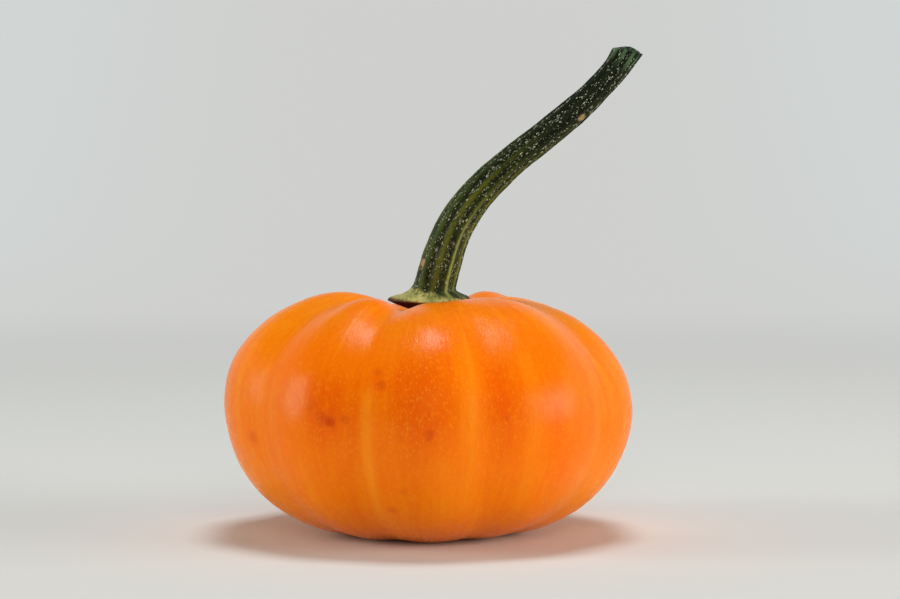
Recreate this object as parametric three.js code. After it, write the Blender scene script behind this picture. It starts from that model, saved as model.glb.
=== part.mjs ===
// A small ornamental pumpkin with its long curved stalk, in millimetres, +Z up.
// The fruit stands on the floor at z = 0 and is seen from -Y in the view that it was drawn from.
import * as THREE from 'three';
import { mergeVertices } from 'three/addons/utils/BufferGeometryUtils.js';

// The fruit, measured on the crest of a lobe as [distance from the axis, height], from the middle of the
// underside, over the foot, the fattest part and the shoulder, to the middle of the basin under the stalk.
const fruitProfile = [
  [0, 2.9], [1.7, 2.8], [2.9, 2.2], [4.6, 2.0], [7.6, 0.9], [10.4, -0.2], [13.4, -0.4], [16.8, 0], [21, 0.8],
  [26, 2.1], [30.6, 4.2], [35, 7], [38.9, 10.8], [42, 15.3], [44.2, 20.4], [45.3, 25.4], [45.3, 30],
  [44.4, 34.4], [42.5, 38.6], [39.4, 42.8], [35, 46.7], [30, 49.7], [24.6, 51.6], [19.2, 52.5], [14.6, 52.2],
  [11.7, 51.1], [9.6, 49.7], [7.6, 48.7], [3.4, 48.3], [0, 48.3],
];
const profileRows = 44; // bands from the underside to the basin
const bandsPerLobe = 9; // narrow strips across one lobe

// The furrows between the lobes, in degrees round the axis: 0 faces the viewer, 90 is to the right.
const furrowAngles = [-51, -18.4, 16.8, 57, 91, 128, 163, 199, 236, 273];
const fullTurn = 360;

// How deep a furrow is below the crest of its lobe, by height along the profile (0 underside, 1 basin).
const furrowDepths = [
  [0, 0], [0.06, 0.1], [0.16, 0.5], [0.21, 0.55], [0.26, 0.5], [0.32, 0.8], [0.4, 1.2], [0.5, 1.4], [0.62, 1.6],
  [0.74, 1.9], [0.81, 1.8], [0.86, 0.9], [0.92, 0.1], [1, 0],
];
const furrowSharpness = 0.55; // 0 is a soft wave, 1 is a crease

// A furrow doesn't run straight up: how many degrees each one has turned by the time it is over the shoulder.
const furrowDrift = [0, 0.5, 2, 10.5, 3, 0, 0, 0, 0, 0];
const driftFull = 0.76;
// Some turn a little under the belly too, on the way down to the foot.
const footDrift = [0, -3, 9, 2, 0, 0, 0, 0, 0, 0];
const footFrom = 0.46;
const footFull = 0.24;
// How deep each furrow still is where it crosses the crest, as a share of the depths above.
const crestFurrow = [1, 1.2, 0, 0.6, 0.7, 0.6, 1, 1, 1, 1];

// No lobe is quite like the next: how much fuller each one is than the mean, from the first furrow on.
const lobeFullness = [0.2, 0.35, -0.15, 0.3, -0.25, 0.2, -0.3, 0.15, -0.1, 0.1];

// How much the shoulder of each lobe is fuller, and its crest higher: the left side is rounder, and the
// lobes at the back left have sunk. The shares say where along the profile each change sets in and fades.
const shoulderLift = [0.7, 0.1, -0.2, -0.6, -0.7, -0.2, -1.0, -1.0, 0.8, 1.7];
const shoulderFrom = 0.5;
const shoulderFull = 0.66;
const crestLift = [0.9, -0.95, 0.35, -1.2, -0.8, 0.3, -1.9, -3.0, -0.2, 1.5];
const crestFull = 0.78;
// On some lobes the rim of the basin has sunk below the crest.
const rimLift = [-2.2, -0.1, -0.3, 0, 0, -2.2, 0, 0, -0.6, -1.3];
const rimFrom = 0.76;
const rimFull = 0.83;
const basinRim = 0.82;
const basinFoot = 0.91;
const basinOffset = 0.8; // the basin sits a little to the right of the fruit's axis

// The stalk's middle line as [x, y, z] from the fruit's axis, from the basin to the cut end.
const stalkPath = [
  [0.8, 0, 48.7], [0.8, 0, 50.4], [1.15, 0, 52.6], [2.0, -0.1, 56.4], [3.0, -0.3, 60], [5.65, -0.7, 67],
  [10.3, -1.4, 73.9], [17.5, -2.6, 81], [26.25, -4, 88], [34.2, -5.2, 94.8], [40.6, -6.1, 101.6],
  [43.5, -6.5, 105.9],
];
// Its radius at a share of the way along, from the underside of the corky collar to the cut end.
const stalkRadii = [
  [0, 4.8], [0.008, 5.7], [0.018, 6.7], [0.025, 7.5], [0.031, 8.0], [0.038, 7.7], [0.045, 6.7], [0.053, 5.7],
  [0.066, 4.75], [0.09, 4.4],
  [0.156, 4.35], [0.2, 4.15], [0.26, 3.95], [0.315, 3.8], [0.374, 3.6], [0.44, 3.45], [0.513, 3.2], [0.59, 3.1],
  [0.667, 3.05], [0.74, 3.0], [0.81, 2.8], [0.87, 2.65], [0.94, 2.75], [1, 3.0],
];
const stalkRows = 58; // rings along the stalk
const rowCrowding = 0.6; // 0 spaces the rings evenly, more draws them together at the collar
const stalkSides = 60; // corners of one ring: six to each ridge
const ridgePairs = 5; // the stalk has ten ridges, and every second one is a little larger
const pairRidge = 0.03; // how far the larger and the smaller ridges differ, as a share of the radius
const everyRidge = 0.07; // height of every ridge, as a share of the radius
const collarRidge = 0.06; // the collar's rim swells at the foot of each larger ridge
const ridgeTwist = 0.12; // turn of the ridges from the basin to the cut end, in radians
const ridgeStart = 0.56; // where the first larger ridge stands at the basin, in radians
const collarUnder = 0.012; // the underside of the collar ends at this share of the stalk's length
const collarRim = 0.034;
const collarEnd = 0.052; // above this share the ridged stalk begins
const ridgesFull = 0.12; // from here on the ridges stand at their full height
const collarBulge = 1.9; // the collar swells further on the viewer's left
const collarLean = { left: 1.3, right: 1.8 }; // it hangs down on the left and stands up on the right
const collarNeck = 0.085; // this lean is gone at this share
const cutTilt = 30; // the cut end leans this many degrees off square, so that it is nearly level
const cutFrom = 0.9;
const cutKink = 0.45; // a second stroke, on the right, took this share of the lean
const cutDish = 0.5; // the pith has shrunk back from the rim by this much
const tornLip = 0.6; // the far side of the rim stands up, torn rather than cut
const lipFrom = 0.985;
const endRings = 2; // the basin side and the cut end are closed with two rings each

const eased = THREE.MathUtils.smoothstep;

// A value read off a list of [place, value] pairs, on a smooth curve through them.
function along(pairs, place) {
  const last = pairs.length - 1;
  if (place >= pairs[last][0]) return pairs[last][1];
  const i = pairs.findIndex((pair) => pair[0] > place) - 1;
  const rise = (at) => {
    const before = pairs[Math.max(at - 1, 0)];
    const after = pairs[Math.min(at + 1, last)];
    return (after[1] - before[1]) / (after[0] - before[0]);
  };
  const gap = pairs[i + 1][0] - pairs[i][0];
  const t = (place - pairs[i][0]) / gap;
  return pairs[i][1] * (1 + 2 * t) * (1 - t) ** 2 + pairs[i + 1][1] * t * t * (3 - 2 * t)
    + gap * (rise(i) * t * (1 - t) ** 2 - rise(i + 1) * t * t * (1 - t));
}

// A value given for the middle of each lobe, eased from one lobe to the next.
function overLobes(values, lobe, across) {
  const next = (lobe + (across < 0.5 ? -1 : 1) + values.length) % values.length;
  return THREE.MathUtils.lerp(values[lobe], values[next], eased(Math.abs(across - 0.5), 0, 1));
}

// A value given for each furrow, eased from one furrow to the next.
function overFurrows(values, lobe, across) {
  return THREE.MathUtils.lerp(values[lobe], values[(lobe + 1) % values.length], eased(across, 0, 1));
}

// One closed skin from a sheet whose edges meet: equal corners are joined and flat slivers dropped.
function closedSkin(sheet) {
  sheet.deleteAttribute('normal');
  sheet.deleteAttribute('uv');
  const skin = mergeVertices(sheet, 1e-4);
  const corners = Array.from(skin.index.array);
  const kept = [];
  for (let i = 0; i < corners.length; i += 3) {
    const [a, b, c] = corners.slice(i, i + 3);
    if (a !== b && b !== c && c !== a) kept.push(a, b, c);
  }
  skin.setIndex(kept);
  skin.computeVertexNormals();
  return skin;
}

// The fruit: one sheet, around and up, with each point of it placed by formula.
const profileCurve = new THREE.SplineCurve(fruitProfile.map(([r, z]) => new THREE.Vector2(r, z)));

function fruitPoint(lobe, across, up) {
  const start = furrowAngles[lobe];
  const end = lobe + 1 < furrowAngles.length ? furrowAngles[lobe + 1] : furrowAngles[0] + fullTurn;
  const drift = overFurrows(furrowDrift, lobe, across) * eased(up, shoulderFrom, driftFull)
    + overFurrows(footDrift, lobe, across) * (1 - eased(up, footFull, footFrom));
  const angle = THREE.MathUtils.degToRad(start + (end - start) * across + drift);
  const onCrest = profileCurve.getPoint(up);
  const slope = profileCurve.getTangent(up);
  const outward = new THREE.Vector2(slope.y, -slope.x);
  const wave = 0.5 + 0.5 * Math.cos(2 * Math.PI * across);
  const crease = 1 - Math.sin(Math.PI * across);
  const onRim = eased(up, shoulderFull, crestFull);
  const kept = THREE.MathUtils.lerp(1, overFurrows(crestFurrow, lobe, across), onRim);
  const furrow = kept * along(furrowDepths, up) * THREE.MathUtils.lerp(wave, crease, furrowSharpness);
  const shoulder = eased(up, shoulderFrom, shoulderFull) - eased(up, shoulderFull, crestFull);
  const crest = eased(up, shoulderFull, crestFull) - eased(up, basinRim, basinFoot);
  const rim = eased(up, rimFrom, rimFull) - eased(up, basinRim, basinFoot);
  const swell = overLobes(lobeFullness, lobe, across) * Math.sin(Math.PI * up)
    + overLobes(shoulderLift, lobe, across) * shoulder + overLobes(crestLift, lobe, across) * crest
    + overLobes(rimLift, lobe, across) * rim - furrow;
  const place = onCrest.addScaledVector(outward, swell);
  const shift = basinOffset * eased(up, shoulderFull, basinFoot);
  // The foot of each lobe has pressed itself flat on the floor.
  return [shift + place.x * Math.sin(angle), -place.x * Math.cos(angle), Math.max(place.y, 0)];
}

const lobes = furrowAngles.length;
const fruitSheet = new THREE.PlaneGeometry(1, 1, lobes * bandsPerLobe, profileRows);
const fruitCorners = fruitSheet.getAttribute('position');
for (let i = 0; i < fruitCorners.count; i += 1) {
  const column = Math.round((fruitCorners.getX(i) + 0.5) * lobes * bandsPerLobe) % (lobes * bandsPerLobe);
  const up = fruitCorners.getY(i) + 0.5;
  const lobe = Math.floor(column / bandsPerLobe);
  fruitCorners.setXYZ(i, ...fruitPoint(lobe, (column % bandsPerLobe) / bandsPerLobe, up));
}
const fruit = new THREE.Mesh(
  closedSkin(fruitSheet),
  new THREE.MeshStandardMaterial({ color: '#e8690a', roughness: 0.38, metalness: 0 }),
);
fruit.name = 'fruit';

// The stalk: rings along its middle line, ridged, twisted, and cut nearly level at the end.
const stalkCurve = new THREE.CatmullRomCurve3(stalkPath.map((point) => new THREE.Vector3(...point)));
const sideways = new THREE.Vector3(0, -1, 0); // every ring has one direction towards the viewer

function stalkPoint(around, share) {
  const centre = stalkCurve.getPointAt(share);
  const forward = stalkCurve.getTangentAt(share);
  const right = new THREE.Vector3().crossVectors(forward, sideways).normalize();
  const near = new THREE.Vector3().crossVectors(right, forward).normalize();
  const turn = 2 * Math.PI * around;
  const ridge = ridgePairs * (turn + ridgeTwist * share - ridgeStart);
  const ridged = eased(share, collarRim, ridgesFull);
  const rim = eased(share, 0, collarUnder) * (1 - ridged);
  const relief = ridged * (pairRidge * Math.cos(ridge) + everyRidge * Math.cos(2 * ridge))
    + rim * collarRidge * Math.cos(ridge);
  const radius = along(stalkRadii, share) * (1 + relief);
  const side = Math.sin(turn);
  const toRim = eased(share, collarUnder, collarRim);
  const bulge = collarBulge * (toRim - eased(share, collarRim, collarEnd));
  const across = (radius + bulge * Math.max(-side, 0) ** 2) * side;
  const lean = side * (side < 0 ? collarLean.left : collarLean.right);
  const hang = lean * (toRim - eased(share, collarRim, collarNeck));
  const offSquare = eased(share, cutFrom, 1) * Math.tan(THREE.MathUtils.degToRad(cutTilt));
  const cut = Math.min(across, cutKink * across) * offSquare;
  const lip = tornLip * Math.max(-Math.cos(turn), 0) ** 2 * eased(share, lipFrom, 1);
  return centre
    .addScaledVector(right, across)
    .addScaledVector(near, radius * Math.cos(turn))
    .addScaledVector(forward, cut + lip + hang);
}

const stalkSheet = new THREE.PlaneGeometry(1, 1, stalkSides, stalkRows + 2 * endRings);
const stalkCorners = stalkSheet.getAttribute('position');
for (let i = 0; i < stalkCorners.count; i += 1) {
  const column = Math.round((stalkCorners.getX(i) + 0.5) * stalkSides) % stalkSides;
  const row = Math.round((stalkCorners.getY(i) + 0.5) * (stalkRows + 2 * endRings));
  const rise = THREE.MathUtils.clamp((row - endRings) / stalkRows, 0, 1);
  const share = THREE.MathUtils.lerp(rise, rise * rise, rowCrowding);
  const inward = Math.max(endRings - row, row - endRings - stalkRows, 0) / endRings;
  const corner = stalkPoint(column / stalkSides, share);
  if (inward > 0) {
    const middle = stalkCurve.getPointAt(share);
    if (share === 1) middle.addScaledVector(stalkCurve.getTangentAt(1), -cutDish);
    corner.lerp(middle, inward);
  }
  stalkCorners.setXYZ(i, corner.x, corner.y, corner.z);
}
const stem = new THREE.Mesh(
  closedSkin(stalkSheet),
  new THREE.MeshStandardMaterial({ color: '#2a331c', roughness: 0.7, metalness: 0 }),
);
stem.name = 'stem';

const pumpkin = new THREE.Group();
pumpkin.name = 'pumpkin';
pumpkin.add(fruit, stem);

// The whole stands with the middle of its outline over the origin.
const outline = new THREE.Box3().setFromObject(pumpkin);
const middle = outline.getCenter(new THREE.Vector3());
for (const piece of pumpkin.children) piece.geometry.translate(-middle.x, -middle.y, 0);

export default pumpkin;
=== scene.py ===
# %% [markdown]
# A small ornamental pumpkin on its long stalk
#
# This lesson dresses a pumpkin whose solids are already made. The solids give the shape and the size.
# Here they get the fine relief, the mottled waxy rind, the specked green stalk and the corky collar.
# Everything is in metres, stands on the floor at z = 0, and the front of the fruit faces -Y.

import math
import random

import bpy
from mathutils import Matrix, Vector
from mathutils.bvhtree import BVHTree


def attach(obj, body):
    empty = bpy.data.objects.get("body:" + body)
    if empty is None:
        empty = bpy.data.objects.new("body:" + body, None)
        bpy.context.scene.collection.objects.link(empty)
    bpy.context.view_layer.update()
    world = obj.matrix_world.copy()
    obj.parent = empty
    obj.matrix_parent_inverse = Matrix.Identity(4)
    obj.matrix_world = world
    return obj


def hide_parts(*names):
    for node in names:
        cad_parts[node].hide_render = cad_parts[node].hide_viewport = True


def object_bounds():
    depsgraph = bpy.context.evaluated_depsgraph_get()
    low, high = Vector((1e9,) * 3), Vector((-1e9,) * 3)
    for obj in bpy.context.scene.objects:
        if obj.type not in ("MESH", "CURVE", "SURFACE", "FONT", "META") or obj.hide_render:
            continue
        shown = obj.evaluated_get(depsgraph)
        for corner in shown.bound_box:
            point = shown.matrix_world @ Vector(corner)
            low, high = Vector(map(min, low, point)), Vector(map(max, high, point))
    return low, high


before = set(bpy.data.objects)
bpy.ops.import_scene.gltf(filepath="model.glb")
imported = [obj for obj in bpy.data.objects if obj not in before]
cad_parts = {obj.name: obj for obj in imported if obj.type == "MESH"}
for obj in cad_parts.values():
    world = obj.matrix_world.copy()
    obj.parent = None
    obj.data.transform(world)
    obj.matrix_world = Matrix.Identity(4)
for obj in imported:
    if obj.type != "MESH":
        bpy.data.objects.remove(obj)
cad_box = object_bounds()
MM = 0.001
print("solids:", sorted(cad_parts), "box", [tuple(round(v, 4) for v in c) for c in cad_box])

# %% [markdown]
# The camera
#
# The picture was taken with a long lens from a little above the fruit: the floor is seen at about eight
# degrees and the crest of the fruit at three. A camera 65 cm away and 9 cm up, tipped down by 3.5
# degrees, gives both. The lens follows from the width that the fruit takes in the frame.

# %% Camera
FRUIT_AXIS = Vector((-1.0375, 0.3508, 0)) * MM
EYE_ASIDE = 4.85 * MM
EYE_BACK = 650 * MM
EYE_UP = 91 * MM
TIPPED_DOWN = math.radians(3.5)
FRAME_WIDTH_PX = 900
FOCAL_PX = 2965
SENSOR_MM = 36

bpy.ops.object.camera_add(
    location=FRUIT_AXIS + Vector((EYE_ASIDE, -EYE_BACK, EYE_UP)),
    rotation=(math.pi / 2 - TIPPED_DOWN, 0, 0),
)
camera = bpy.context.object
camera.data.sensor_width = SENSOR_MM
camera.data.lens = SENSOR_MM * FOCAL_PX / FRAME_WIDTH_PX
camera.data.clip_start = 0.01
camera.data.clip_end = 20
bpy.context.scene.camera = camera
print("camera at", tuple(round(v, 4) for v in camera.location), "lens", round(camera.data.lens, 1))

# %% [markdown]
# Small helpers
#
# Operators act on all that is selected, so each step first selects only the piece that it works on.
# A piece that follows a solid starts as a copy of the solid's mesh with its loose triangles joined.


# %% Helpers for pieces
def pick(piece):
    """Makes one piece the only selected and the active one."""
    if bpy.context.object and bpy.context.object.mode != "OBJECT":
        bpy.ops.object.mode_set(mode="OBJECT")
    bpy.ops.object.select_all(action="DESELECT")
    piece.select_set(True)
    bpy.context.view_layer.objects.active = piece


def whole_copy(node, name):
    """A new piece with a solid's shape: doubles joined, and triangles paired into four-sided faces."""
    piece = bpy.data.objects.new(name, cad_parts[node].data.copy())
    piece.data.name = name
    piece.data.materials.clear()
    bpy.context.scene.collection.objects.link(piece)
    pick(piece)
    bpy.ops.object.mode_set(mode="EDIT")
    bpy.ops.mesh.select_all(action="SELECT")
    bpy.ops.mesh.remove_doubles(threshold=0.005 * MM)
    bpy.ops.mesh.tris_convert_to_quads(face_threshold=math.pi, shape_threshold=math.pi)
    bpy.ops.mesh.normals_make_consistent(inside=False)
    bpy.ops.object.mode_set(mode="OBJECT")
    while piece.data.attributes.get("custom_normal"):
        piece.data.attributes.remove(piece.data.attributes["custom_normal"])
    return piece


def apply_modifier(piece, kind, **settings):
    """Adds one modifier, sets it, and applies it to the mesh."""
    pick(piece)
    modifier = piece.modifiers.new(kind.title(), kind)
    for key, value in settings.items():
        setattr(modifier, key, value)
    bpy.ops.object.modifier_apply(modifier=modifier.name)


def smoothed(piece, levels=2):
    """Rounds the facets of a copied solid."""
    apply_modifier(piece, "SUBSURF", levels=levels, render_levels=levels)
    pick(piece)
    bpy.ops.object.shade_smooth()


def relief(piece, name, size, height, depth=2):
    """Raises soft uneven lumps of about the given size and height all over a piece."""
    lumps = bpy.data.textures.new(name, "CLOUDS")
    lumps.noise_scale = size
    lumps.noise_depth = depth
    apply_modifier(piece, "DISPLACE", texture=lumps, texture_coords="LOCAL", strength=height, mid_level=0.5)


def eased(value, low, high):
    """0 below low, 1 above high, and a smooth step between them."""
    t = min(max((value - low) / (high - low), 0), 1)
    return t * t * (3 - 2 * t)


def store(piece, name, values):
    """Keeps one number, or three, for each corner of the mesh, for the materials to read."""
    kind = "FLOAT_VECTOR" if isinstance(values[0], (tuple, Vector)) else "FLOAT"
    layer = piece.data.attributes.new(name, kind, "POINT")
    if kind == "FLOAT":
        layer.data.foreach_set("value", values)
    else:
        layer.data.foreach_set("vector", [part for value in values for part in value])


def faces_of(piece):
    """How many triangles a piece takes."""
    return sum(len(face.vertices) - 2 for face in piece.data.polygons)


# %% [markdown]
# The rind
#
# The rind is one smooth skin over ten lobes. The solid already has the lobes, the furrows and the
# foot, so its copy is rounded with a subdivision surface. A real rind isn't perfectly even: it has
# shallow hollows a centimetre across and fine puckers, and both are raised with displacement.

# %% Fruit skin
HOLLOW_SIZE = 9 * MM
HOLLOW_HEIGHT = 0.3 * MM
PUCKER_SIZE = 2.0 * MM
PUCKER_HEIGHT = 0.07 * MM

rind = whole_copy("fruit", "fruit_skin")
print("rind faces joined:", len(rind.data.polygons), "of", len(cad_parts["fruit"].data.polygons))
smoothed(rind)
relief(rind, "hollows", HOLLOW_SIZE, HOLLOW_HEIGHT)
relief(rind, "puckers", PUCKER_SIZE, PUCKER_HEIGHT, depth=3)
for corner in rind.data.vertices:
    corner.co.z = max(corner.co.z, 0)
print("rind triangles:", faces_of(rind))

# %% [markdown]
# Coordinates that follow the fruit
#
# Streaks on a pumpkin run from the stalk to the blossom end. Noise on plain positions would not, so
# each corner keeps its place on a map: round the axis, and along the half circle from foot to crown.
# A second number holds the broad bands that run down the rind. The pale ones beside the furrows are
# partly a paler tone and partly painted highlights, where the lamps catch the flanks of the furrows;
# the thin red lines in the furrows are painted shade, and the redder bands on the lobes are the rind's
# own tone. The front ones stand where the photograph shows them; further round, each furrow has a pale
# band and a thin red line beside it, and each lobe a red band.

# %% Map of the rind
MAP_RADIUS = 45 * MM
MAP_ARC = 40 * MM
FRUIT_MIDDLE = 26.5 * MM
# One band: its turn round the axis and half its width in degrees, from which to which height it runs
# in millimetres, and how pale (above 0) or red (below 0) it is.
# The pale bands beside the furrows are partly a paler tone and partly painted highlight; the thin red lines
# at the furrows are painted shade.
FRONT_BANDS_AND_PAINTED_LIGHT = [
    (-53.5, 1.6, 8, 46, 0.35), (-47.5, 4.2, 20, 37, 0.35), (-38.0, 4.0, 6, 22, 0.35),
    (-27.5, 6.5, 23, 39, -0.55), (-19.2, 1.0, 7, 42, -0.4), (-16.3, 2.6, 6, 36, 0.8),
    (-9.5, 1.5, 10, 47, 0.2), (-3.5, 6.0, 24, 42, -0.45), (5.0, 3.5, 6, 22, 0.35),
    (12.4, 4.0, 8, 46, 0.5), (17.6, 1.0, 7, 44, -0.45), (21.6, 4.0, 20, 42, -0.6),
    (30.6, 3.4, 10, 43, 0.42), (36.4, 2.0, 14, 42, -0.3), (42.6, 3.4, 23, 39, 0.38),
    (50.0, 3.0, 10, 44, -0.2), (55.0, 1.9, 8, 46, 0.4), (66.0, 4.0, 12, 42, -0.2),
]
REST_FROM = 78
REST_TO = 295
REST_OF_FURROWS = [91, 128, 163, 199, 236, 273]


def rest_of_bands_and_painted_light():
    """Bands like the front ones for the sides and the back."""
    bands = []
    for furrow in REST_OF_FURROWS:
        # A pale band before each furrow: partly a paler tone, partly a painted highlight on its flank.
        pale_turn = furrow - 4 + random.uniform(-1, 1)
        bands.append((pale_turn, 3.2, 8, 44, random.uniform(0.5, 0.9)))
        # A thin red line in the furrow: painted shade.
        bands.append((furrow + 0.8, 0.9, 7, 44, -0.5))
        red_turn = furrow + random.uniform(9, 14)
        bands.append((red_turn, 5, random.uniform(16, 24), 41, -random.uniform(0.4, 0.9)))
        pale_turn = furrow + random.uniform(22, 28)
        bands.append((pale_turn, 2.4, 9, random.uniform(34, 45), random.uniform(0.2, 0.6)))
    return bands


def band_at(turn, up, bands):
    """The sum of all the bands at a place on the rind."""
    total = 0
    for middle, half, low, high, strength in bands:
        apart = (turn - middle + 180) % 360 - 180
        if abs(apart) < 3 * half:
            window = eased(up, low - 4, low + 4) * (1 - eased(up, high - 4, high + 3))
            total += strength * window * math.exp(-((apart / half) ** 2))
    return total


random.seed(4)
all_bands = FRONT_BANDS_AND_PAINTED_LIGHT + rest_of_bands_and_painted_light()
meridians = []
bands_here = []
for corner in rind.data.vertices:
    offset = corner.co - FRUIT_AXIS
    around = math.atan2(offset.x, -offset.y)
    out = math.hypot(offset.x, offset.y)
    polar = math.atan2(offset.z - FRUIT_MIDDLE, out)
    meridians.append((MAP_RADIUS * math.sin(around), -MAP_RADIUS * math.cos(around), MAP_ARC * polar))
    bands_here.append(band_at(math.degrees(around), offset.z / MM, all_bands))
store(rind, "meridian", meridians)
store(rind, "band", bands_here)
print("rind map stored for", len(meridians), "corners,", len(all_bands), "bands")

# %% [markdown]
# The stalk
#
# The stalk is a tough ribbed stem that curves over to the right, with a corky collar where it grows
# out of the fruit. Its solid has the ribs and the collar. The rim of the cut end has to stay crisp
# when the copy is rounded, so sharp edges are creased first.

# %% Stalk skin
SHARP_EDGE = math.radians(50)
RIM_CREASE = 0.6

stalk = whole_copy("stem", "stalk_skin")
pick(stalk)
bpy.ops.object.mode_set(mode="EDIT")
bpy.ops.mesh.select_mode(type="EDGE")
bpy.ops.mesh.select_all(action="DESELECT")
bpy.ops.mesh.edges_select_sharp(sharpness=SHARP_EDGE)
bpy.ops.transform.edge_crease(value=RIM_CREASE)
bpy.ops.object.mode_set(mode="OBJECT")
smoothed(stalk)
print("stalk triangles:", faces_of(stalk))

# %% [markdown]
# Coordinates that follow the stalk
#
# The colours of the stalk go with its ten ribs: paler on the crests, almost black between them. Each
# corner gets its share of the way along the middle line and its turn round it. The middle line is the
# curve that the solid was drawn on. No two ribs have quite the same green, so each has a tint.

# %% Map of the stalk
STALK_LINE = [
    Vector(point) * MM + FRUIT_AXIS
    for point in [
        (0.8, 0, 48.7), (0.8, 0, 50.4), (1.15, 0, 52.6), (2.0, -0.1, 56.4), (3.0, -0.3, 60),
        (5.65, -0.7, 67), (10.3, -1.4, 73.9), (17.5, -2.6, 81), (26.25, -4, 88), (34.2, -5.2, 94.8),
        (40.6, -6.1, 101.6), (43.5, -6.5, 105.9),
    ]
]
LINE_STEPS = 16
RIBS = 10
RIB_TWIST = 0.12
RIB_START = 0.56
TOWARDS_VIEWER = Vector((0, -1, 0))
# For each rib, from the one right of the middle onwards: how pale it is, how brown rather than blue, and
# the share of the way along at which its olive has died out.
RIB_TINTS = [
    (1.0, 0.55, 0.55), (0.75, 0.85, 0.95), (0.5, 0.5, 0.6), (0.6, 0.3, 0.5), (0.8, 0.5, 0.6),
    (0.5, 0.2, 0.5), (0.7, 0.6, 0.6), (0.6, 0.45, 0.6), (0.45, 0.1, 0.45), (0.6, 1.0, 0.6),
]


def on_spline(a, b, c, d, t):
    """A point between b and c on the smooth curve through a, b, c and d."""
    return 0.5 * (2 * b + (c - a) * t + (2 * a - 5 * b + 4 * c - d) * t**2 + (3 * b - a - 3 * c + d) * t**3)


line = []
for i in range(len(STALK_LINE) - 1):
    before = STALK_LINE[max(i - 1, 0)]
    after = STALK_LINE[min(i + 2, len(STALK_LINE) - 1)]
    for step in range(LINE_STEPS):
        line.append(on_spline(before, STALK_LINE[i], STALK_LINE[i + 1], after, step / LINE_STEPS))
line.append(STALK_LINE[-1])
lengths = [0]
for first, second in zip(line, line[1:]):
    lengths.append(lengths[-1] + (second - first).length)
print("stalk length", round(lengths[-1] / MM, 1), "mm")


def stalk_frame(i):
    """The direction of the stalk at a point of its line, with its right side and its near side."""
    forward = (line[min(i + 1, len(line) - 1)] - line[max(i - 1, 0)]).normalized()
    right = forward.cross(TOWARDS_VIEWER).normalized()
    return forward, right, right.cross(forward).normalized()


def stalk_place(point):
    """How far along the stalk a point is, as a share, and its turn round the middle line."""
    i = min(range(len(line)), key=lambda k: (line[k] - point).length_squared)
    forward, right, near = stalk_frame(i)
    offset = point - line[i]
    share = min(max((lengths[i] + offset.dot(forward)) / lengths[-1], 0), 1)
    return share, math.atan2(offset.dot(right), offset.dot(near))


def rib_number(share, turn):
    """A whole number on the crest of each rib, and halves in the valleys between them."""
    return (turn + RIB_TWIST * share - RIB_START) * RIBS / (2 * math.pi)


shares = []
ribs = []
tints = []
grains = []
for corner in stalk.data.vertices:
    share, turn = stalk_place(corner.co)
    number = rib_number(share, turn)
    lower = math.floor(number)
    part = number - lower
    one = RIB_TINTS[lower % RIBS]
    other = RIB_TINTS[(lower + 1) % RIBS]
    shares.append(share)
    ribs.append(0.5 + 0.5 * math.cos(2 * math.pi * number))
    tints.append(tuple(a + (b - a) * eased(part, 0.3, 0.7) for a, b in zip(one, other)))
    grains.append((4 * MM * math.sin(turn), 4 * MM * math.cos(turn), share * lengths[-1]))
store(stalk, "share", shares)
store(stalk, "rib", ribs)
store(stalk, "tint", tints)
store(stalk, "grain", grains)

# %% [markdown]
# Relief of the stalk
#
# Along the stalk the surface is a little lumpy. The collar is rough cork, so it gets a coarser grain of
# its own: a vertex group says how much of that grain each corner takes.

# %% Stalk relief
CORK_END = 0.056
CORK_FADE_FROM = CORK_END - 0.012
CORK_FADE_TO = CORK_END + 0.004
LUMP_SIZE = 3.0 * MM
LUMP_HEIGHT = 0.22 * MM
GRAIN_SIZE = 0.8 * MM
GRAIN_HEIGHT = 0.08 * MM
CORK_GRAIN_SIZE = 0.9 * MM
CORK_GRAIN_HEIGHT = 0.35 * MM

group = stalk.vertex_groups.new(name="collar")
for corner, share in zip(stalk.data.vertices, shares):
    group.add([corner.index], 1 - eased(share, CORK_FADE_FROM, CORK_FADE_TO), "REPLACE")
relief(stalk, "stalk lumps", LUMP_SIZE, LUMP_HEIGHT)
relief(stalk, "stalk grain", GRAIN_SIZE, GRAIN_HEIGHT, depth=3)
cork_grain = bpy.data.textures.new("cork grain", "CLOUDS")
cork_grain.noise_scale = CORK_GRAIN_SIZE
cork_grain.noise_depth = 2
apply_modifier(
    stalk, "DISPLACE", texture=cork_grain, texture_coords="LOCAL", strength=CORK_GRAIN_HEIGHT,
    mid_level=0.6, vertex_group="collar",
)
box_low, box_high = cad_box
for corner in stalk.data.vertices:
    for axis in range(3):
        corner.co[axis] = min(max(corner.co[axis], box_low[axis]), box_high[axis])

# %% [markdown]
# Specks of cork
#
# The whole stalk is sprinkled with tiny pale grains of cork, a quarter of a millimetre across, most of
# them in the valleys and on the flanks of the ribs. One grain is a low cone, blunt and sunk a little into
# the skin. Some two thousand copies of it are set on the skin, each drawn out along the stalk.

# %% Stalk specks
SPECKS = 2300
SPECK_RADIUS = 0.17 * MM
SPECK_HEIGHT = 0.12 * MM
SPECK_SIDES = 6
SPECKS_FROM = 0.06
SPECKS_TO = 0.985
CAST_FROM = 12 * MM
CAST_LENGTH = 11.5 * MM
random.seed(11)

bpy.ops.object.select_all(action="DESELECT")
bpy.ops.mesh.primitive_cone_add(
    vertices=SPECK_SIDES, radius1=SPECK_RADIUS, radius2=SPECK_RADIUS * 0.35, depth=SPECK_HEIGHT,
    location=(0, 0, SPECK_HEIGHT * 0.1),
)
grain_of_cork = bpy.context.object
grain_of_cork.name = "one_speck"
bpy.ops.object.transform_apply(location=True)
grain_corners = [corner.co.copy() for corner in grain_of_cork.data.vertices]
grain_faces = [tuple(face.vertices) for face in grain_of_cork.data.polygons]
bpy.data.objects.remove(grain_of_cork)

skin_of_stalk = BVHTree.FromObject(stalk, bpy.context.evaluated_depsgraph_get())


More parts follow.
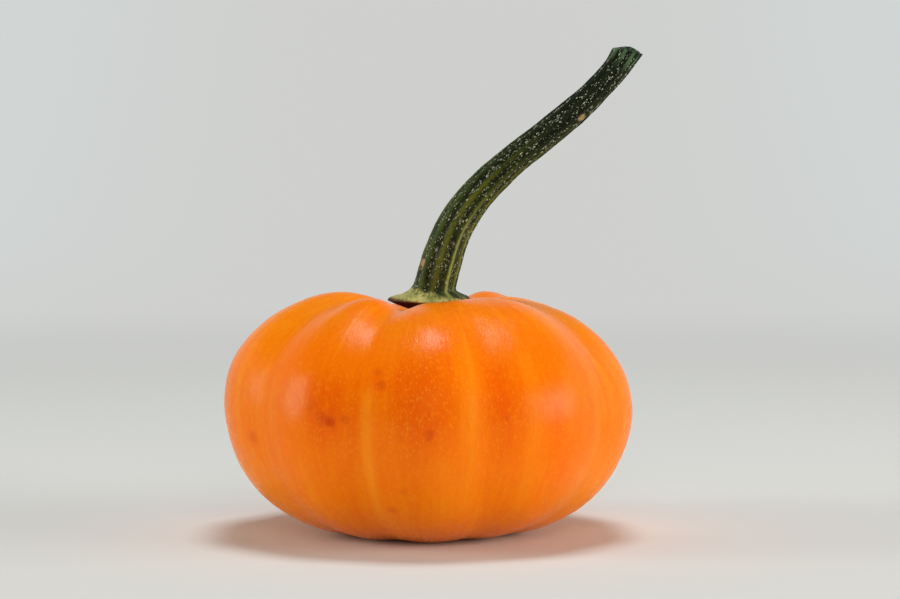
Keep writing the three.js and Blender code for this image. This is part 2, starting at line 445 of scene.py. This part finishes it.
def on_stalk(share, turn):
    """The point of the skin at a share of the way along and a turn, its normal, and the way forward."""
    i = min(range(len(line)), key=lambda k: abs(lengths[k] / lengths[-1] - share))
    forward, right, near = stalk_frame(i)
    centre = line[i] + forward * (share * lengths[-1] - lengths[i])
    outwards = right * math.sin(turn) + near * math.cos(turn)
    spot, normal, _, _ = skin_of_stalk.ray_cast(centre + outwards * CAST_FROM, -outwards, CAST_LENGTH)
    return spot, normal, forward


corners = []
faces = []
placed = 0
while placed < SPECKS:
    share = random.uniform(SPECKS_FROM, SPECKS_TO)
    number = random.randrange(RIBS) + random.triangular(0.05, 0.95, 0.5)
    turn = number * 2 * math.pi / RIBS + RIB_START - RIB_TWIST * share
    spot, normal, forward = on_stalk(share, turn)
    if spot is None:
        continue
    size = random.triangular(0.25, 1.4, 0.5)
    longer = random.uniform(1.0, 2.6)
    long_side = (forward - normal * forward.dot(normal)).normalized()
    short_side = normal.cross(long_side)
    start = len(corners)
    for co in grain_corners:
        corners.append(spot + (long_side * co.x * longer + short_side * co.y + normal * co.z) * size)
    faces.extend(tuple(start + k for k in face) for face in grain_faces)
    placed += 1
speck_mesh = bpy.data.meshes.new("stalk_specks")
speck_mesh.from_pydata(corners, [], faces)
specks = bpy.data.objects.new("stalk_specks", speck_mesh)
bpy.context.scene.collection.objects.link(specks)
print("specks:", placed, "triangles:", faces_of(specks))

# %% [markdown]
# Node helpers
#
# A material is built from sums, such as 1 - mask. One small class wraps a node's output and turns
# each sign into a Math node, and one method makes every other kind of node.


# %% Node helpers
class Wire:
    """The output of a node, which can be used in a sum like a number."""

    def __init__(self, paint, end):
        self.paint = paint
        self.end = end

    def sum(self, operation, *parts):
        inputs = dict(enumerate(parts))
        return self.paint.node("ShaderNodeMath", {"operation": operation}, inputs)

    def __add__(self, other):
        return self.sum("ADD", self, other)

    def __mul__(self, other):
        return self.sum("MULTIPLY", self, other)

    def __sub__(self, other):
        return self.sum("SUBTRACT", self, other)

    def __rsub__(self, other):
        return self.sum("SUBTRACT", other, self)

    def __truediv__(self, other):
        return self.sum("DIVIDE", self, other)

    __radd__ = __add__
    __rmul__ = __mul__

    def at_most(self, other):
        return self.sum("MINIMUM", self, other)

    def between(self, low, high):
        """0 below low and 1 above high, with a smooth step; high may be the smaller one."""
        settings = {"interpolation_type": "SMOOTHSTEP"}
        if low < high:
            return self.paint.node("ShaderNodeMapRange", settings, {0: self, 1: low, 2: high, 3: 0, 4: 1})
        return self.paint.node("ShaderNodeMapRange", settings, {0: self, 1: high, 2: low, 3: 1, 4: 0})


class Paint:
    """One material and its nodes."""

    def __init__(self, name):
        self.material = bpy.data.materials.new(name)
        self.material.use_nodes = True
        self.tree = self.material.node_tree
        self.tree.nodes.clear()

    def node(self, kind, settings=None, inputs=None, out=0):
        """Makes a node, sets it, then fills or links its sockets; returns one of its outputs."""
        made = self.tree.nodes.new(kind)
        for key, value in (settings or {}).items():
            setattr(made, key, value)
        for key, value in (inputs or {}).items():
            if isinstance(value, Wire):
                self.tree.links.new(value.end, made.inputs[key])
            else:
                made.inputs[key].default_value = value
        return Wire(self, made.outputs[out]) if made.outputs else made

    def mix(self, share, first, second, blend="MIX"):
        """A colour between two others."""
        settings = {"data_type": "RGBA", "blend_type": blend}
        return self.node("ShaderNodeMix", settings, {0: share, 6: first, 7: second}, out=2)

    def stored(self, name, out="Fac"):
        """A number, or a vector, that was kept on the mesh."""
        return self.node("ShaderNodeAttribute", {"attribute_name": name}, out=out)

    def part(self, vector, axis):
        """One of the three parts of a vector."""
        return self.node("ShaderNodeSeparateXYZ", {}, {0: vector}, out=axis)

    def stretched(self, vector, x, y, z):
        """A vector with each of its three parts made larger or smaller."""
        return self.node("ShaderNodeVectorMath", {"operation": "MULTIPLY"}, {0: vector, 1: (x, y, z)})

    def cloud(self, vector, size, detail=2.0, roughness=0.5):
        """Soft noise with lumps of about the given size, from 0 to 1."""
        values = {"Vector": vector, "Scale": 1 / size, "Detail": detail, "Roughness": roughness}
        return self.node("ShaderNodeTexNoise", {}, values)

    def cells(self, vector, size, out="Distance"):
        """Cells of about the given size: the distance to the nearest middle, or a colour for each."""
        values = {"Vector": vector, "Scale": 1 / size}
        return self.node("ShaderNodeTexVoronoi", {"feature": "F1"}, values, out=out)

    def distance(self, first, second):
        """How far apart two points are."""
        settings = {"operation": "DISTANCE"}
        return self.node("ShaderNodeVectorMath", settings, {0: first, 1: second}, out="Value")

    def spot(self, position, place, size, soft=0.5):
        """1 within a distance of a point, fading out around it."""
        return (self.distance(position, place) / size).between(1 + soft, 1 - soft)

    def finish(self, values, bump=()):
        """Joins the shader to the output; bump is a list of (height, distance) pairs, coarse to fine."""
        normal = None
        for height, distance in bump:
            inputs = {"Height": height, "Distance": distance, "Strength": 1.0}
            if normal is not None:
                inputs["Normal"] = normal
            normal = self.node("ShaderNodeBump", {}, inputs)
        shader = self.node("ShaderNodeBsdfPrincipled", {}, values)
        if normal is not None:
            self.tree.links.new(normal.end, shader.end.node.inputs["Normal"])
        self.node("ShaderNodeOutputMaterial", {}, {"Surface": shader})
        return self.material


def colour(red, green, blue):
    """A colour as it is seen on a screen, 0 to 255, turned into light."""

    def light(part):
        part /= 255
        return part / 12.92 if part <= 0.04045 else ((part + 0.055) / 1.055) ** 2.4

    return (light(red), light(green), light(blue), 1.0)


# %% [markdown]
# The rind's finish
#
# A ripe rind is deep orange with a thin coat of wax. Seen close, it is mottled: redder clouds on the
# lobes, faint streaks from pole to pole, and a fine sprinkling of paler dots. The paler bands beside
# the furrows are partly a paler tone and partly painted highlights, and the thin red lines in the
# furrows are painted shade. Towards the left and right and on the shoulders the rind is painted
# yellower, as painted light where the lamps fall stronger, and the hollow round the stalk is painted
# darker red, partly as painted shade. A few small red blemishes sit on the front. Each of these is one
# mask on the map.

# %% Rind material
ORANGE = colour(245, 116, 0)
RED_ORANGE = colour(238, 92, 0)
YELLOW_ORANGE = colour(250, 143, 0)
# Partly the rind's paler tone, partly a painted highlight beside the furrows.
PALE_BAND_AND_SHEEN = colour(250, 148, 22)
PALE_DOT = colour(255, 152, 30)
# This red also serves for the painted shade in the hollow round the stalk.
BLEMISH_AND_SHADE_RED = colour(204, 58, 0)
CORK_BROWN = colour(120, 78, 40)
DOT_SPACING = 0.62 * MM
WANDER_SIZE = 5 * MM
STREAK_SIZE = 1.5 * MM
STREAK_LENGTHEN = 0.07
BROAD_SIZE = 13 * MM
MOTTLE_SIZE = 2.2 * MM
FINE_SIZE = 0.55 * MM
PIT_SIZE = 0.6 * MM
MOTTLE_DEPTH = 0.09 * MM
PIT_DEPTH = 0.06 * MM
# Each blemish is given by its turn round the axis in degrees and its height, its size in millimetres
# and its strength. So are the redder clouds.
BLEMISHES = [
    (-31.3, 31.7, 1.3, 0.35), (-28.5, 29.1, 1.3, 0.6), (-26.0, 28.3, 1.0, 0.85), (-22.3, 29.0, 0.9, 0.45),
    (-13.9, 38.7, 0.8, 0.45), (-12.6, 36.2, 0.9, 0.55), (0.9, 26.4, 0.8, 0.65), (0.7, 25.2, 0.6, 0.5),
    (22.3, 29.2, 0.6, 0.45), (-56.7, 23.5, 1.3, 0.4), (-11.2, 9.5, 0.9, 0.5), (-6.5, 13.9, 0.8, 0.3),
]
RED_CLOUDS = [
    (-27, 31, 6, 0.8), (-5, 34, 6.5, 0.6), (1, 27, 4.5, 0.5), (21, 33, 6, 0.6), (38, 31, 6, 0.4),
    (-13, 37, 2.8, 0.6), (-56, 24, 5, 0.4), (-9, 12, 5, 0.3), (12, 46, 5, 0.3),
]
MORE_BLEMISHES = 14
for _ in range(MORE_BLEMISHES):
    turn = random.uniform(REST_FROM, REST_TO)
    BLEMISHES.append((turn, random.uniform(12, 42), random.uniform(0.6, 1.3), random.uniform(0.3, 0.6)))
    RED_CLOUDS.append((turn + random.uniform(-9, 9), random.uniform(14, 42), random.uniform(4, 7), 0.6))

RAY_START = 80 * MM

skin_of_rind = BVHTree.FromObject(rind, bpy.context.evaluated_depsgraph_get())


def rind_point(degrees, up):
    """The point of the rind at a turn round the axis and a height in millimetres."""
    outwards = Vector((math.sin(math.radians(degrees)), -math.cos(math.radians(degrees)), 0))
    start = FRUIT_AXIS + outwards * RAY_START + Vector((0, 0, up * MM))
    return skin_of_rind.ray_cast(start, -outwards)[0]


skin = Paint("pumpkin rind")
place = skin.node("ShaderNodeTexCoord", {}, {}, out="Object")
meridian = skin.stored("meridian", "Vector")
band = skin.stored("band")
height = skin.part(place, "Z") / MM

wander = skin.cloud(place, WANDER_SIZE, detail=3)
streak_map = skin.stretched(meridian, 1, 1, STREAK_LENGTHEN)
streaks = skin.cloud(streak_map, STREAK_SIZE, detail=3, roughness=0.6)
broad = skin.cloud(skin.stretched(meridian, 1, 1, 0.5), BROAD_SIZE, detail=3)
mottle = skin.cloud(skin.stretched(meridian, 1, 1, 0.7), MOTTLE_SIZE, detail=4, roughness=0.65)
fine = skin.cloud(skin.stretched(meridian, 1, 1, 0.8), FINE_SIZE, detail=1)

red_share = (broad - 0.5) * 1.0 + (mottle - 0.5) * 1.1 + (fine - 0.5) * 0.8
# The red bands: the lobes' own redder tone, and painted shade in the thin lines at the furrows.
red_share = red_share + band.between(0, -1) * (0.3 + wander * 0.5)
for degrees, up, size, strength in RED_CLOUDS:
    cloud_mask = skin.spot(place, rind_point(degrees, up), size * MM, soft=0.8)
    red_share = red_share + cloud_mask * (wander * strength)
# Painted light: the rind is painted yellower towards the left and right and on the shoulders, where the
# lamps fall stronger; the yellower lower part, the streaks and the mottle are its own colour.
across = skin.part(meridian, "X") / MAP_RADIUS
sides = (across * across).between(0.4, 0.95)
yellow_and_lit_share = height.between(26, 4) * 0.45 + sides * 0.35 + height.between(40, 50) * 0.3
yellow_and_lit_share = yellow_and_lit_share + (streaks - 0.5) * 1.0 + (mottle - 0.5) * 0.9 + (fine - 0.5) * 0.9
tone = skin.mix(red_share.between(-0.3, 0.9), ORANGE, RED_ORANGE)
tone = skin.mix(yellow_and_lit_share.between(-0.1, 1.0), tone, YELLOW_ORANGE)
# Pale bands beside the furrows: partly paler tone, partly painted highlight.
pale_and_sheen_share = (band + (streaks - 0.5) * 0.5 * band.between(0, 0.3)).between(0, 1)
tone = skin.mix(pale_and_sheen_share * (0.3 + wander * 0.7), tone, PALE_BAND_AND_SHEEN)

grit = skin.stretched(meridian, 1, 1, 0.75)
dots = skin.cells(grit, DOT_SPACING).between(0.5, 0.15)
dot_choice = skin.part(skin.cells(grit, DOT_SPACING, out="Color"), "X")
tone = skin.mix(dots * (0.3 + broad.between(0.35, 0.65) * 0.2) * dot_choice, tone, PALE_DOT)

hurt = None
for degrees, up, size, strength in BLEMISHES:
    mark = skin.spot(place, rind_point(degrees, up), size * MM, soft=0.95) * (strength * 1.1)
    hurt = mark if hurt is None else hurt + mark
hurt = (hurt * (mottle * 1.1 + fine * 0.5)).at_most(0.8)
tone = skin.mix(hurt, tone, BLEMISH_AND_SHADE_RED)

level = skin.stretched(place, 1, 1, 0)
from_axis = skin.distance(level, FRUIT_AXIS) / MM
# Partly painted shade: the hollow round the stalk, under the collar, is painted darker red; part of that
# red is the rind's own colour there.
crown_red_and_shade = from_axis.between(10, 8) * height.between(40, 45)
tone = skin.mix(crown_red_and_shade * (0.35 + wander * 0.5), tone, BLEMISH_AND_SHADE_RED)
scar = (from_axis + (mottle - 0.5) * 2).between(3.6, 2.4) * height.between(12, 8)
tone = skin.mix(scar, tone, CORK_BROWN)

shine = 0.26 + (mottle - 0.5) * 0.14 + hurt * 0.2 + scar * 0.4
rind_finish = skin.finish(
    {
        "Base Color": tone,
        "Roughness": shine,
        "Specular IOR Level": 0.105,
    },
    bump=[(mottle, MOTTLE_DEPTH), (skin.cloud(grit, PIT_SIZE, detail=3), PIT_DEPTH)],
)
rind.data.materials.append(rind_finish)
print("rind material nodes:", len(skin.tree.nodes))

# %% [markdown]
# The stalk's finish
#
# Fresh stalks of this kind are so dark a green that the valleys look black. The crests of the ribs
# are olive, more so near the fruit, and the collar is pale cork into which the green runs out in
# ragged tongues. Two old rubs show as tan patches.

# %% Stalk material
NIGHT_GREEN = colour(16, 23, 9)
SHADE_GREEN = colour(40, 48, 26)
DEEP_GREEN = colour(50, 62, 18)
COOL_CREST = colour(66, 84, 34)
WARM_CREST = colour(90, 92, 14)
PALE_CREST = colour(146, 154, 84)
CORK = colour(192, 178, 106)
CORK_MOSS = colour(118, 128, 62)
# Painted shade under the collar.
UNDER_COLLAR_SHADE = colour(70, 34, 14)
TAN = colour(176, 146, 92)
FLECK = colour(178, 186, 160)
CUT_GREEN = colour(78, 112, 74)
SPECK_DULL = colour(96, 106, 80)
SPECK_PALE = colour(190, 194, 172)
RAGGED_SIZE = 1.0 * MM
PATCH_SIZE = 4 * MM
THREAD_SIZE = 0.38 * MM
FLECK_SPACING = 0.5 * MM
CORK_CELL = 0.4 * MM
RAGGED_DEPTH = 0.14 * MM
THREAD_DEPTH = 0.08 * MM
# The rubs as (share of the way along, turn in degrees, size).
RUBS = [(0.135, -60, 0.9), (0.765, 48, 0.85)]


green = Paint("stalk")
share = green.stored("share")
rib = green.stored("rib")
tint = green.stored("tint", "Vector")
pale = green.part(tint, "X")
warm = green.part(tint, "Y")
reach = green.part(tint, "Z")
grain = green.stored("grain", "Vector")
place = green.node("ShaderNodeTexCoord", {}, {}, out="Object")
ragged = green.cloud(green.stretched(grain, 1, 1, 0.2), RAGGED_SIZE, detail=4, roughness=0.65)
patchy = green.cloud(place, PATCH_SIZE, detail=3)
grit = green.stretched(grain, 1, 1, 0.6)
fine = green.cloud(grit, THREAD_SIZE, detail=3)

low = (share - reach).between(0.12, -0.25)
lowest = share.between(0.5, 0.12)
on_rib = rib + (ragged - 0.5) * 1.5 + (fine - 0.5) * 2.0 + (patchy - 0.5) * 0.8
valley = green.mix(share.between(0.6, 0.15) * ragged.between(0.3, 0.65), NIGHT_GREEN, SHADE_GREEN)
body = green.mix(on_rib.between(-0.2, 0.75) * (0.25 + low * 0.75), valley, DEEP_GREEN)
crest = green.mix((warm + (patchy - 0.5) * 0.6).between(0.0, 1.0), COOL_CREST, WARM_CREST)
body = green.mix(on_rib.between(0.25, 1.15) * low * (0.35 + patchy * 0.8), body, crest)
pale_line = (rib + (fine - 0.5) * 0.3).between(0.8, 1.0) * pale.between(0.5, 1.0)
body = green.mix(pale_line * lowest * (0.35 + ragged), body, PALE_CREST)
flecks = green.cells(grit, FLECK_SPACING).between(0.34, 0.14)
fleck_choice = green.part(green.cells(grit, FLECK_SPACING, out="Color"), "X")
body = green.mix(flecks * fleck_choice.between(0.55, 0.9) * 0.5, body, FLECK)
body = green.mix(share.between(0.5, 0.8) * 0.62, body, NIGHT_GREEN)
end_green = share.between(0.93, 0.975) * rib.between(0.4, 0.9) * patchy.between(0.3, 0.6)
body = green.mix(end_green * 0.8, body, CUT_GREEN)
for along, degrees, size in RUBS:
    middle = on_stalk(along, math.radians(degrees))[0]
    rub = green.spot(place, middle, size * MM, soft=0.5) * ragged.between(0.3, 0.5)
    body = green.mix(rub * 0.9, body, TAN)

edge = share + (ragged - 0.5) * 0.03 - rib * 0.006
cork_grit = green.cells(place, CORK_CELL)
cork_share = cork_grit * 0.9 + (fine - 0.5) * 1.2 + (patchy - 0.5) * 1.2
cork_tone = green.mix(cork_share.between(0.1, 0.9), CORK, CORK_MOSS)
cork_tone = green.mix(share.between(0.035, 0.055) * 0.5 * fine.between(0.4, 0.6), cork_tone, DEEP_GREEN)
# Painted shade: the underside of the collar, hidden from the lamps, is painted dark brown.
cork_tone = green.mix(share.between(0.031, 0.024), cork_tone, UNDER_COLLAR_SHADE)
body = green.mix(edge.between(0.06, 0.05), body, cork_tone)
wood = green.finish(
    {
        "Base Color": body,
        "Roughness": 0.55 + (fine - 0.5) * 0.2,
        "Specular IOR Level": 0.14,
    },
    bump=[(ragged, RAGGED_DEPTH), (fine, THREAD_DEPTH)],
)
stalk.data.materials.append(wood)
print("stalk material nodes:", len(green.tree.nodes))

speck_paint = Paint("cork speck")
speck_place = speck_paint.node("ShaderNodeTexCoord", {}, {}, out="Object")
speck_cloud = speck_paint.cloud(speck_place, 0.8 * MM).between(0.35, 0.65)
speck_tone = speck_paint.mix(speck_cloud, SPECK_DULL, SPECK_PALE)
specks.data.materials.append(
    speck_paint.finish({"Base Color": speck_tone, "Roughness": 0.6, "Specular IOR Level": 0.2})
)

# %% [markdown]
# Stage
#
# The fruit stands on a pale sheet that curves up on all sides, so that no edge shows from anywhere. The
# sheet glows faintly further off, which stands in for the paper being lit evenly out there. Behind the
# camera it is darker, as the room is.

# %% Stage
DISH_RADIUS = 2.5
DISH_HEIGHT = 1.6
DISH_CURVE = 1.2
SHEET_WHITE = colour(219, 218, 214)
SHEET_FAR = colour(209, 213, 212)
SHEET_BEHIND = colour(207, 208, 206)
SHEET_FRONT = colour(110, 110, 110)

bpy.ops.object.select_all(action="DESELECT")
bpy.ops.mesh.primitive_cylinder_add(
    vertices=96, radius=DISH_RADIUS, depth=DISH_HEIGHT, location=(0, 0, DISH_HEIGHT / 2)
)
sheet = bpy.context.object
sheet.name = "paper_sheet"
bpy.ops.object.transform_apply(location=True)
bpy.ops.object.mode_set(mode="EDIT")
bpy.ops.mesh.select_mode(type="FACE")
bpy.ops.mesh.select_all(action="DESELECT")
bpy.ops.object.mode_set(mode="OBJECT")
for face in sheet.data.polygons:
    face.select = face.normal.z > 0.5
bpy.ops.object.mode_set(mode="EDIT")
bpy.ops.mesh.delete(type="FACE")
bpy.ops.mesh.select_mode(type="EDGE")
bpy.ops.mesh.select_all(action="DESELECT")
bpy.ops.object.mode_set(mode="OBJECT")
for edge_line in sheet.data.edges:
    edge_line.select = all(sheet.data.vertices[v].co.z < 0.01 for v in edge_line.vertices)
bpy.ops.object.mode_set(mode="EDIT")
bpy.ops.mesh.bevel(offset=DISH_CURVE, segments=20)
bpy.ops.mesh.select_all(action="SELECT")
bpy.ops.mesh.flip_normals()
bpy.ops.object.mode_set(mode="OBJECT")
for face in sheet.data.polygons:
    face.use_smooth = face.normal.z < 0.999

paper = Paint("paper sheet")
place = paper.node("ShaderNodeTexCoord", {}, {}, out="Object")
distance = paper.node("ShaderNodeVectorMath", {"operation": "LENGTH"}, {0: place}, out="Value")
far = distance.between(0.2, 0.8)
aside = paper.part(place, "X")
aside = (aside * aside).between(0.005, 0.12)
glow = paper.mix(aside, SHEET_BEHIND, SHEET_FAR)
glow = paper.mix(paper.part(place, "Y").between(-0.6, -1.4), glow, SHEET_FRONT)
sheet.data.materials.append(
    paper.finish(
        {
            "Base Color": paper.mix(far, SHEET_WHITE, (0, 0, 0, 1)),
            "Emission Color": paper.mix(far, (0, 0, 0, 1), glow),
            "Emission Strength": 1.0,
            "Roughness": 0.9,
            "Specular IOR Level": 0.0,
        }
    )
)

# %% [markdown]
# Light
#
# A small soft box nearly overhead gives the little glints on the lobes and the round shadow. A tall one
# stands on the left and a broad, stronger one on the right. A fourth beside the camera fills the front, and
# isn't mirrored in the rind. A faint light from all round stands in for the rest of the room.


# %% Lamps
WARM = (1.0, 0.94, 0.85)
GREENISH = (0.97, 1.0, 0.92)
COOL = (0.95, 1.0, 1.04)
ROOM_TINT = (0.95, 0.98, 1.0, 1)
ROOM_STRENGTH = 0.1


def soft_box(name, place, width, height, watts, tint):
    """A rectangular lamp that looks at the middle of the fruit."""
    bpy.ops.object.light_add(type="AREA", location=place)
    lamp = bpy.context.object
    lamp.name = name
    lamp.data.shape = "RECTANGLE"
    lamp.data.size = width
    lamp.data.size_y = height
    lamp.data.energy = watts
    lamp.data.color = tint
    lamp.visible_camera = False
    aim = Vector((0, 0, FRUIT_MIDDLE)) - Vector(place)
    lamp.rotation_euler = aim.to_track_quat("-Z", "Y").to_euler()
    return lamp


soft_box("overhead", (0.06, 0.1, 1.1), 0.36, 0.36, 6.0, COOL)
soft_box("left", (-1.25, -0.12, 0.26), 0.45, 0.8, 8.0, GREENISH)
soft_box("right", (1.2, -0.32, 0.3), 0.9, 0.5, 10.0, WARM)
front = soft_box("front", (0.1, -1.5, 0.55), 0.8, 0.8, 7.5, WARM)
front.visible_glossy = False

world = bpy.data.worlds.new("studio")
bpy.context.scene.world = world
world.use_nodes = True
room = world.node_tree.nodes["Background"]
room.inputs["Color"].default_value = ROOM_TINT
room.inputs["Strength"].default_value = ROOM_STRENGTH
bpy.context.scene.view_settings.view_transform = "Standard"

# %% [markdown]
# Riding
#
# Nothing on a pumpkin moves, so every piece rides on the one body, and the skins stand for the
# solids that they were copied from.

# %% Finish
for piece, slot in ((rind, "skin"), (stalk, "stalk"), (specks, "stalk")):
    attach(piece, "root")
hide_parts("fruit")
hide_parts("stem")
